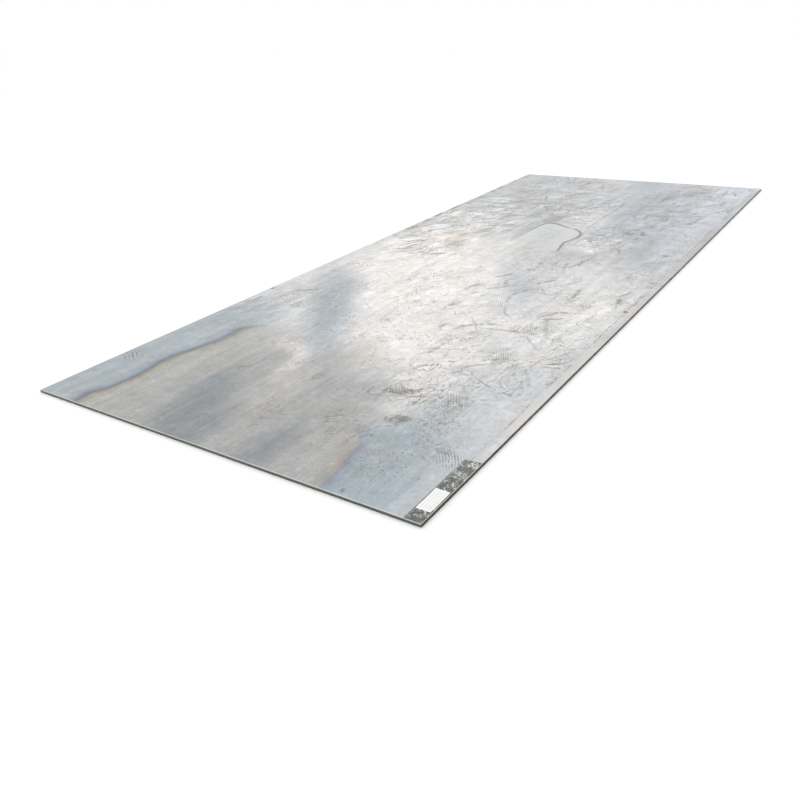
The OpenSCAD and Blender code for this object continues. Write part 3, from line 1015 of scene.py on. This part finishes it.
def yard_wear(look, colour, finish):
    """Streaks, clouds and smears of dried dirt, and fine crossing scuffs, each strongest in its own zones."""
    scuffed, clouded, streaked = look.field("wear")
    streaked = look.times(streaked, look.patches(0.40, 0.62, 3.0, 4.0, 0.6))
    trailing = look.times(clouded, look.rise(look.split(look.place)[0], -0.2, 0.5))
    streaks = look.noise((2.2, 95.0, 1.0), 5.0, 0.65)
    clouds = look.noise((7.5, 19.0, 1.0), 9.0, 0.68, bend=0.8, turn=25)
    smears = look.noise((24.0, 5.0, 1.0), 5.0, 0.6, bend=0.6)
    for zone, noise, gain in ((streaked, streaks, 0.38), (clouded, clouds, 1.9), (trailing, smears, 1.2)):
        swing = look.times(zone, look.about(noise, 0.0, gain))
        colour = look.shade(colour, look.plus(swing, 1.0))
    thick = look.patches(0.53, 0.65, (6.0, 13.0, 1.0), 8.0, 0.70, bend=1.2, turn=20)
    colour = look.over(colour, finish.grime, thick, clouded, clouded, 0.48)
    for turn, gain in ((-32, 0.35), (18, 0.30), (80, 0.30)):
        bent = look.noise((7.0, 30.0, 1.0), 2.0, bend=0.3, turn=turn)
        gaps = look.patches(0.52, 0.64, (13.0, 13.0, 1.0), 3.0, 0.6, turn=turn + 9)
        colour = look.over(colour, finish.grime, look.hump(bent, 0.5, 0.05), gaps, scuffed, gain)
    return colour


def walked_zone(look):
    """Where the plate was walked on: crowded clusters with cleaner steel between them."""
    scuffed, clouded, _ = look.field("wear")
    walked = look.plus(look.math("MAXIMUM", scuffed, look.times(clouded, 0.8)), 0.12)
    crowd = look.patches(0.42, 0.58, 4.5, 3.0, 0.6)
    return look.times(walked, look.scaled(crowd, 1.10, 0.15))


def marbling(look, colour, finish):
    """Curling lines of dried wet dirt, thickest where the plate was walked on. Each has a painted highlight
    on one side, except at the leading end."""
    walked = walked_zone(look)
    along = look.split(look.place)[0]
    trailing = look.times(look.field("wear")[1], look.rise(along, 0.0, 0.6))
    # How strong the painted highlight beside each line is, none at the leading end
    pale = look.times(look.rise(along, -1.15, -0.80), 0.6)
    kinds = [(trailing, 2.4, 8.0, 0.60), (walked, 4.0, 9.0, 0.60)]
    kinds += [(walked, 9.0, 6.0, 0.70), (walked, 17.0, 5.0, 0.65)]
    for zone, scale, lines, gain in kinds:
        phase = look.math("FRACT", look.times(look.noise(scale, 3.0, 0.58, bend=1.8), lines))
        shown = look.times(look.patches(0.46, 0.56, scale * 0.8, 5.0, 0.65, bend=0.4), zone, gain)
        colour = look.over(colour, finish.dirt, look.hump(phase, 0.40, 0.09), shown)
        colour = look.over(colour, finish.painted_highlight, look.hump(phase, 0.55, 0.08), shown, pale)
    return colour


def stray_strokes(look, colour, finish):
    """Short bent scratches in clusters, each with a painted highlight on one side, thickest where the plate
    was walked on.
    """
    walked = walked_zone(look)
    clouded = look.field("wear")[1]
    wobble = look.about(look.noise(24.0, 3.0, 0.55), 0.0, 0.030)
    broken = look.patches(0.36, 0.58, 65.0, 4.0, 0.65)
    kinds = [(walked, 6.5, 0.070, 0.0050, 16, 0.50), (walked, 11.0, 0.042, 0.0040, 16, 0.55)]
    kinds += [(walked, 21.0, 0.022, 0.0030, 16, 0.60)]
    kinds += [(clouded, 5.3, 0.090, 0.0120, 24, 0.75), (clouded, 8.9, 0.050, 0.0110, 24, 0.80)]
    for zone, scale, half_length, half_width, direction, gain in kinds:
        off, within, pick = look.strokes(scale, half_length, direction, wobble)
        shown = look.times(within, look.rise(look.minus(zone, pick), 0.0, 0.30), broken, gain)
        # The painted highlight on one side of each scratch
        colour = look.over(colour, finish.painted_highlight, look.hump(off, -0.005, half_width), shown, 0.4)
        colour = look.over(colour, finish.dirt, look.hump(off, 0.0, half_width), shown)
    return colour


def puddle_stain(look, colour, finish):
    """A dried puddle: a pale inside, a thin dark rim, and fainter rings outside it."""
    signed, run, cover = look.field("puddle_rim")
    place = look.shaken(signed, 0.010, 40.0, 4.0, 0.6)
    inside = look.times(cover, look.rise(place, 0.0, 0.012), look.rise(place, 0.14, 0.02))
    colour = look.over(colour, finish.puddle, inside, 0.55)
    rings = look.hump(place, 0.0, 0.010)
    early = look.rise(run, 0.66, 0.52)
    for centre, half_width, weight in ((-0.045, 0.009, 0.25), (-0.075, 0.010, 0.20)):
        rings = look.math("MAXIMUM", rings, look.times(look.hump(place, centre, half_width), early, weight))
    strength = look.scaled(look.rise(run, 0.20, 0.40), 0.40, 0.45)
    return look.over(colour, finish.dirt, rings, cover, look.patches(0.08, 0.40, 9.0), strength)


def soil_marks(look, colour, finish):
    """Smudges, specks and rust."""
    smudge, specks, rust = look.field("soil")
    hatch = look.noise((70.0, 300.0, 1.0), 5.0, 0.65, turn=38)
    texture = look.plus(hatch, look.noise(60.0, 5.0, 0.6))
    density = look.plus(smudge, look.about(texture, -1.2, 2.4))
    density = look.times(look.rise(density, 0.25, 1.0), look.rise(smudge, 0.0, 0.15))
    colour = look.over(colour, finish.dirt, density, 0.75)
    distance, pick = look.cells(150.0)
    chosen = look.rise(look.minus(specks, pick), 0.25, 0.45)
    colour = look.over(colour, finish.dirt, look.rise(distance, 0.42, 0.22), chosen, 0.75)
    distance, pick = look.cells(48.0)
    chosen = look.rise(pick, 0.86, 0.94)
    colour = look.over(colour, finish.dirt, look.rise(distance, 0.20, 0.08), chosen, 0.60)
    ragged = look.plus(rust, look.about(look.noise(90.0, 6.0, 0.7), -0.25, 1.2))
    return look.over(colour, finish.rust, look.rise(ragged, 0.20, 0.60), 0.9)


def print_marks(look, colour, finish):
    """Ribs of the boot prints, broken where the sole missed."""
    patchy = look.patches(0.34, 0.60, 70.0, 4.0, 0.6)
    for number in range(PRINT_LAYERS):
        along, ribs, cover = look.field(f"print_{number}")
        bend = look.shaken(look.scaled(look.times(along, along), 90.0, ribs), 0.9, 45.0, 2.0)
        rib = look.rise(look.math("COSINE", look.times(bend, 2 * math.pi)), 0.0, 0.85)
        colour = look.over(colour, finish.dirt, rib, cover, patchy)
    return colour


def scuff_marks(look, colour, finish):
    """Drawn scuffs with a shaky course and ragged, broken edges."""
    wobble = look.about(look.noise(38.0, 4.0, 0.6), 0.0, 0.022)
    ragged = look.about(look.noise(180.0, 3.0, 0.6), 0.0, 2.2)
    broken = look.patches(0.25, 0.60, 75.0, 4.0, 0.6)
    for number in range(SCUFF_LAYERS):
        distance, half_width, cover = look.field(f"scuff_{number}")
        off = look.math("ABSOLUTE", look.plus(distance, wobble))
        body = look.rise(look.plus(look.math("DIVIDE", off, half_width), ragged), 1.5, 0.2)
        colour = look.over(colour, finish.dirt, body, cover, broken, 0.90)
    return colour


def edge_wear_and_highlight(look, colour, finish):
    """The abraded band beside the right side with a broken dirt line on its inner border, soot along the left
    side, and a painted highlight along the near rims."""
    x, y, _ = look.split(look.place)
    from_right = look.minus(y, PLATE_LOW.y)
    place = look.shaken(from_right, 0.026, 7.0, 8.0, 0.72)
    band_colour = look.mix(look.rise(x, -0.5, 0.7), finish.band_near, finish.band_far)
    band = look.times(look.rise(place, 0.030, 0.020), look.patches(0.30, 0.60, 4.0))
    colour = look.over(colour, band_colour, band, 0.55)
    line = look.times(look.hump(place, 0.028, 0.0035), look.patches(0.42, 0.58, 85.0, 4.0, 0.7))
    strength = look.scaled(look.patches(0.40, 0.62, 5.0), 0.60, 0.20)
    colour = look.over(colour, finish.band_line, line, strength)
    soot = look.rise(look.minus(PLATE_HIGH.y, y), 0.060, 0.0)
    soot = look.times(soot, look.patches(0.44, 0.62, 22.0, 5.0, 0.65), look.rise(x, -0.2, 0.4))
    colour = look.over(colour, finish.dirt, soot, 0.75)
    # A painted highlight along the right and leading rims
    rim = look.math("MINIMUM", from_right, look.minus(x, PLATE_LOW.x))
    highlit = look.times(look.rise(rim, 0.0032, 0.0010), look.patches(0.30, 0.50, 60.0, 4.0, 0.6))
    return look.over(colour, finish.painted_highlight, highlit, 0.60)


def set_scale_shader(look, colour, height, roughness):
    """Sets the shader of a rolled face: half-bright scale whose roughness varies in clouds."""
    rough = look.about(look.noise(18.0, 5.0, 0.6), roughness, 0.16)
    look.set(Base_Color=colour, Metallic=0.85, Roughness=rough, Normal=look.bump(height, 0.0004, 0.35))


def top_scale_material(finish):
    """Rolled scale of the top face, with its stains, prints and scuffs, and its painted sheen, highlights and
    shade.
    """
    look = Finish("top_scale")
    colour = look.add("ShaderNodeAttribute", attribute_name="stain_and_sheen_colour").outputs["Color"]
    colour, height = rolling_texture(look, colour)
    colour = heat_tint(look, colour)
    # These layers carry dirt and wear, and also painted highlights
    wear = (yard_wear, marbling, stray_strokes, puddle_stain, soil_marks, print_marks, scuff_marks, edge_wear_and_highlight)
    for lay in wear:
        colour = lay(look, colour, finish)
    set_scale_shader(look, colour, height, 0.40)
    return look.material


def under_scale_material(finish):
    """Plain rolled scale of the bottom face, with clouds of rust."""
    look = Finish("under_scale")
    colour, height = rolling_texture(look, look.mix(0.5, finish.scale, finish.dull))
    clouds = look.noise(3.5, 7.0, 0.65)
    colour = look.over(colour, finish.under_rust, look.rise(clouds, 0.52, 0.74), 0.45)
    colour = look.over(colour, finish.blue, look.rise(clouds, 0.46, 0.30), 0.50)
    set_scale_shader(look, colour, height, 0.45)
    return look.material


def rolled_side_material(finish):
    """Dark scale and rust on the long sides, near black with painted shade, and a painted highlight on the
    upper arris.
    """
    look = Finish("rolled_side")
    z = look.split(look.place)[2]
    streaks = look.patches(0.45, 0.70, (14.0, 14.0, 900.0), 5.0, 0.65)
    # Near-black base: dark scale with painted shade
    colour = look.over(finish.side, finish.side_streak, streaks)
    colour = look.over(colour, finish.side_rust, look.patches(0.52, 0.70, 30.0, 6.0, 0.7), 0.8)
    colour = look.over(colour, finish.side_dust, look.patches(0.55, 0.72, (9.0, 9.0, 260.0), 5.0, 0.6), 0.5)
    # A painted highlight along the upper arris
    rim = look.shaken(z, 0.0012, 40.0, 5.0, 0.7)
    highlit = look.rise(rim, PLATE_HIGH.z - 0.0008, PLATE_HIGH.z - 0.0002)
    colour = look.over(colour, finish.painted_highlight, highlit, 0.70)
    pits = look.noise(700.0, 4.0, 0.7)
    look.set(Base_Color=colour, Metallic=0.5, Roughness=0.55, Normal=look.bump(pits, 0.0003, 0.6))
    return look.material


def sheared_end_material(finish):
    """A sheared end: a rollover with a painted highlight, a smooth band with blade lines, and a grainy torn
    part.
    """
    look = Finish("sheared_end")
    x, _, z = look.split(look.place)
    # The trailing end was cut with the other face up
    turned = look.math("GREATER_THAN", x, 0.0)
    height = look.between(turned, z, look.minus(PLATE_SIZE.z, z))
    ragged = look.shaken(height, 0.0022, 70.0, 5.0, 0.65)
    torn_top = PLATE_SIZE.z - finish.rollover_radius - finish.burnish_height
    torn = look.rise(ragged, torn_top + 0.0003, torn_top - 0.0003)
    blade = look.noise((1.0, 420.0, 30.0), 4.0, 0.6)
    grain = look.noise(520.0, 5.0, 0.7)
    smooth_colour = look.shade(finish.sheared, look.about(blade, 1.35, 0.9))
    torn_colour = look.shade(finish.sheared, look.about(grain, 0.85, 1.1))
    colour = look.mix(torn, smooth_colour, torn_colour)
    stain = look.noise(11.0, 5.0, 0.65)
    colour = look.over(colour, finish.end_rust, look.rise(stain, 0.54, 0.72), 0.5)
    # A painted highlight along the upper rollover
    rim = look.plus(z, look.about(stain, 0.0, 0.0010))
    highlit = look.rise(rim, PLATE_HIGH.z - 0.0009, PLATE_HIGH.z - 0.0002)
    colour = look.over(colour, finish.painted_highlight, highlit, 0.8)
    relief = look.between(torn, blade, grain)
    look.set(Base_Color=colour, Metallic=0.6, Roughness=0.5, Normal=look.bump(relief, 0.0004, 0.6))
    return look.material


class PLATE_OT_roll_plate(bpy.types.Operator):
    """Make the rolled plate with its scale, stains, sides and ends"""

    bl_idname = "plate.roll_plate"
    bl_label = "Roll Plate"

    def execute(self, context):
        finish = context.scene.plate_finish
        mesh, along, across = build_plate_shell(finish)
        store_stain_fields(mesh, finish, along, across)
        makers = (top_scale_material, rolled_side_material, sheared_end_material, under_scale_material)
        materials = [make(finish) for make in makers]
        seat_piece(context, mesh, materials, "plate")
        return {"FINISHED"}


# Film strip and label


def closed_sheet(name, top, bottom):
    """A closed thin mesh between two grids of points, each rows by columns by three. The top faces up."""
    rows, columns, _ = top.shape
    grid, rim = grid_faces(rows, columns)
    below = rows * columns
    faces = np.concatenate([grid, grid[:, ::-1] + below, wall_faces(rim, rim + below)])
    points = np.concatenate([top.reshape(-1, 3), bottom.reshape(-1, 3)])
    return shaded_mesh(name, points, faces.tolist(), np.ones(len(faces), bool), crease=60)


def film_outline(film):
    """Places of the film's grid, with a toothed, slanting far end. Its rows run along the strip."""
    s, t = sheet_grid(film.rows, film.columns)
    bite = film.tooth_depth * abs((t * film.teeth + 0.5) % 1 - 0.5) * 2
    far = FILM_HIGH.x - film.slant * t - bite
    return FILM_LOW.x + s * (far - FILM_LOW.x), FILM_LOW.y + t * FILM_SIZE.y


def film_wrinkles(film, x, y):
    """Height of the crumpled film: sharp ridges that die out under the label and at the strip's rim."""
    u, v = x.ravel() - FILM_LOW.x, y.ravel() - FILM_LOW.y
    ridges = np.zeros(u.size)
    for seed, turn, pitch, weight in ((3, 35, 0.011, 1.0), (7, -50, 0.016, 0.9), (13, 80, 0.022, 0.7)):
        p, q = turned_place(u, v, turn)
        bend = 0.006 * layered_noise(seed + 50, u, v, pitch=0.02, layers=2)
        ridge = 1 - abs(2 * value_noise(seed, p * 0.45 + bend, q + bend, pitch * 0.5) - 1)
        ridges = np.maximum(ridges, weight * ridge**5)
    rim = np.minimum.reduce([u, v, FILM_SIZE.y - v, FILM_SIZE.x - u])
    off_label = np.maximum(LABEL_LOW.x - x, x - LABEL_HIGH.x).ravel()
    height = film.wrinkle * ridges * soft_step(rim, 0.0, 0.003) * soft_step(off_label, 0.001, 0.008)
    return height.reshape(x.shape)


def film_material(film):
    """Glossy film: dark over the steel, white where it is creased or has let go, the white creases partly
    painted glints.
    """
    look = Finish("creased_film")
    x, y, _ = look.split(look.place)
    colour = look.over(film.film, film.haze, look.patches(0.40, 0.62, 260.0, 4.0, 0.7))
    far = look.rise(x, LABEL_HIGH.x, LABEL_HIGH.x + 0.06)
    bent = look.noise(40.0, 3.0, 0.6, bend=1.5)
    drawn = look.noise((45.0, 150.0, 1.0), 3.0, 0.6, bend=0.8)
    # The white creases are partly painted glints
    crease = look.math("MAXIMUM", look.hump(bent, 0.5, 0.024), look.hump(drawn, 0.5, 0.04))
    patchy = look.scaled(far, 0.04, look.noise(38.0, 3.0, 0.6))
    colour = look.over(colour, film.crease, crease, look.rise(patchy, 0.51, 0.61))
    # Painted glints
    glints = look.noise((60.0, 190.0, 1.0), 4.0, 0.65, bend=0.6, turn=12)
    glints = look.scaled(far, 0.02, glints)
    colour = look.over(colour, film.crease, look.rise(glints, 0.63, 0.68))
    shaky = look.about(look.noise(160.0, 3.0, 0.6), 0.0, 0.006)
    off, within, pick = look.strokes(48.0, 0.012, -50, shaky)
    streak = look.times(look.hump(off, 0.0, 0.0016), within, look.rise(pick, 0.55, 0.65))
    colour = look.over(colour, film.crease, streak)
    inner = look.minus(FILM_HIGH.y, y)
    colour = look.over(colour, film.rim, look.hump(inner, 0.0010, 0.0012), 0.8)
    colour = look.over(colour, film.crease, look.hump(inner, 0.0034, 0.0010), 0.45)
    look.set(Base_Color=colour, Roughness=0.22, IOR=1.48, Normal=look.bump(bent, 0.0008, 0.5))
    return look.material


class PLATE_OT_lay_film(bpy.types.Operator):
    """Lay the crumpled film strip on the corner of the plate"""

    bl_idname = "plate.lay_film"
    bl_label = "Lay Film"

    def execute(self, context):
        film = context.scene.film_finish
        x, y = film_outline(film)
        top = np.stack([x, y, FILM_HIGH.z + film_wrinkles(film, x, y)], -1)
        bottom = np.stack([x, y, np.full(x.shape, FILM_LOW.z)], -1)
        mesh = closed_sheet("creased_film", top, bottom)
        seat_piece(context, mesh, [film_material(film)], "film_strip")
        return {"FINISHED"}


def label_outline(label):
    """Places of the label's grid, its rows shortened near the sides to round the corners."""
    radius = label.corner_radius
    s, t = sheet_grid(label.rows, label.columns)
    short = np.clip(radius - np.minimum(t, 1 - t) * LABEL_SIZE.y, 0, radius)
    inset = radius - np.sqrt(radius**2 - short**2)
    return LABEL_LOW.x + inset + s * (LABEL_SIZE.x - 2 * inset), LABEL_LOW.y + t * LABEL_SIZE.y


def label_material(label):
    """White paper with faint ruled lines and no writing."""
    look = Finish("label_paper")
    x, y, _ = look.split(look.place)
    fibres = look.noise(900.0, 4.0, 0.6)
    colour = look.shade(label.paper, look.about(fibres, 1.0, 0.08))
    along = look.math("DIVIDE", look.minus(x, LABEL_LOW.x), LABEL_SIZE.x)
    across = look.math("DIVIDE", look.minus(y, LABEL_LOW.y), LABEL_SIZE.y)
    ruled = 0.0
    for place in (0.2, 0.4, 0.6, 0.8):
        ruled = look.math("MAXIMUM", ruled, look.hump(across, place, 0.020))
    margin = look.times(look.rise(along, 0.08, 0.10), look.rise(along, 0.92, 0.90))
    colour = look.over(colour, label.rule, ruled, margin, 0.8)
    colour = look.over(colour, label.smudge, look.patches(0.58, 0.72, 55.0, 5.0, 0.6), 0.25)
    look.set(Base_Color=colour, Roughness=0.55, Normal=look.bump(fibres, 0.0001, 0.4))
    return look.material


class PLATE_OT_stick_label(bpy.types.Operator):
    """Stick the blank ruled label on the film"""

    bl_idname = "plate.stick_label"
    bl_label = "Stick Label"

    def execute(self, context):
        label = context.scene.label_finish
        x, y = label_outline(label)
        s, t = (x - LABEL_LOW.x) / LABEL_SIZE.x, (y - LABEL_LOW.y) / LABEL_SIZE.y
        lift = label.lift * soft_step(s + t, 1.55, 2.0)
        lift += 0.25 * label.lift * soft_step(np.hypot(s, t), 0.30, 0.0)
        top = np.stack([x, y, LABEL_HIGH.z + lift], -1)
        bottom = np.stack([x, y, LABEL_LOW.z + lift], -1)
        mesh = closed_sheet("ruled_label", top, bottom)
        seat_piece(context, mesh, [label_material(label)], "label")
        return {"FINISHED"}


# Stage


def lay_floor(context, stage):
    """A plain pale floor just under the plate."""
    half = stage.floor_size / 2
    corners = [(x * half, y * half, -FLOOR_GAP) for x, y in ((-1, -1), (1, -1), (1, 1), (-1, 1))]
    mesh = bpy.data.meshes.new("floor")
    mesh.from_pydata(corners, [], [(0, 1, 2, 3)])
    look = Finish("floor_paint")
    look.set(Base_Color=stage.floor, Roughness=1.0, Specular_IOR_Level=0.0)
    mesh.materials.append(look.material)
    put_in_scene(context, "floor", mesh)


def light_stage(context, stage):
    """A plain white sky all round and one soft card above the plate."""
    world = bpy.data.worlds.new("white_sky")
    context.scene.world = world
    world.use_nodes = True
    background = world.node_tree.nodes["Background"]
    background.inputs["Color"].default_value = (1.0, 1.0, 1.0, 1.0)
    background.inputs["Strength"].default_value = 1.0
    card = bpy.data.lights.new("soft_card", "AREA")
    card.size = stage.card_size
    card.energy = stage.card_power
    hung = put_in_scene(context, "soft_card", card)
    hung.location = stage.card_place
    hung.rotation_euler = (-Vector(stage.card_place)).to_track_quat("-Z", "Y").to_euler()
    context.scene.view_settings.view_transform = "Standard"


def set_camera(context, stage):
    """The photograph's viewpoint."""
    level = math.cos(stage.pitch)
    ahead = Vector((level * math.cos(stage.yaw), level * math.sin(stage.yaw), -math.sin(stage.pitch)))
    level_right = ahead.cross(Vector((0, 0, 1))).normalized()
    level_up = level_right.cross(ahead)
    right = level_right * math.cos(stage.roll) + level_up * math.sin(stage.roll)
    up = level_up * math.cos(stage.roll) - level_right * math.sin(stage.roll)
    camera = bpy.data.cameras.new("camera")
    camera.sensor_width = stage.sensor
    camera.lens = stage.lens
    turn = Matrix((right, up, -ahead)).transposed().to_4x4()
    stand = put_in_scene(context, "camera", camera)
    stand.matrix_world = Matrix.Translation(Vector(stage.eye)) @ turn
    context.scene.camera = stand


class PLATE_OT_set_stage(bpy.types.Operator):
    """Lay the pale floor, hang the soft card and set the camera"""

    bl_idname = "plate.set_stage"
    bl_label = "Set Stage"

    def execute(self, context):
        stage = context.scene.stage_setup
        lay_floor(context, stage)
        light_stage(context, stage)
        set_camera(context, stage)
        return {"FINISHED"}


class PLATE_PT_sidebar(bpy.types.Panel):
    """Lists the plate's pieces and the stage with their settings"""

    bl_idname = "PLATE_PT_sidebar"
    bl_label = "Hot-Rolled Plate"
    bl_space_type = "VIEW_3D"
    bl_region_type = "UI"
    bl_category = "Plate"

    def draw(self, context):
        for operator, group in zip(OPERATORS, GROUPS):
            box = self.layout.box()
            box.operator(operator.bl_idname)
            settings = getattr(context.scene, group)
            for name in settings.__annotations__:
                box.prop(settings, name)


GROUPS = {
    "plate_finish": PlateFinish,
    "film_finish": FilmFinish,
    "label_finish": LabelFinish,
    "stage_setup": StageSetup,
}
OPERATORS = (PLATE_OT_roll_plate, PLATE_OT_lay_film, PLATE_OT_stick_label, PLATE_OT_set_stage)
CLASSES = (*GROUPS.values(), *OPERATORS, PLATE_PT_sidebar)


def register():
    """Adds the classes and their settings to Blender."""
    for cls in CLASSES:
        bpy.utils.register_class(cls)
    for name, group in GROUPS.items():
        setattr(bpy.types.Scene, name, PointerProperty(type=group))


def unregister():
    """Takes the classes and their settings out again."""
    for name in GROUPS:
        delattr(bpy.types.Scene, name)
    for cls in reversed(CLASSES):
        bpy.utils.unregister_class(cls)


def main():
    """Builds every piece and the stage."""
    register()
    bpy.ops.plate.roll_plate()
    bpy.ops.plate.lay_film()
    bpy.ops.plate.stick_label()
    bpy.ops.plate.set_stage()


if __name__ == "__main__":
    main()
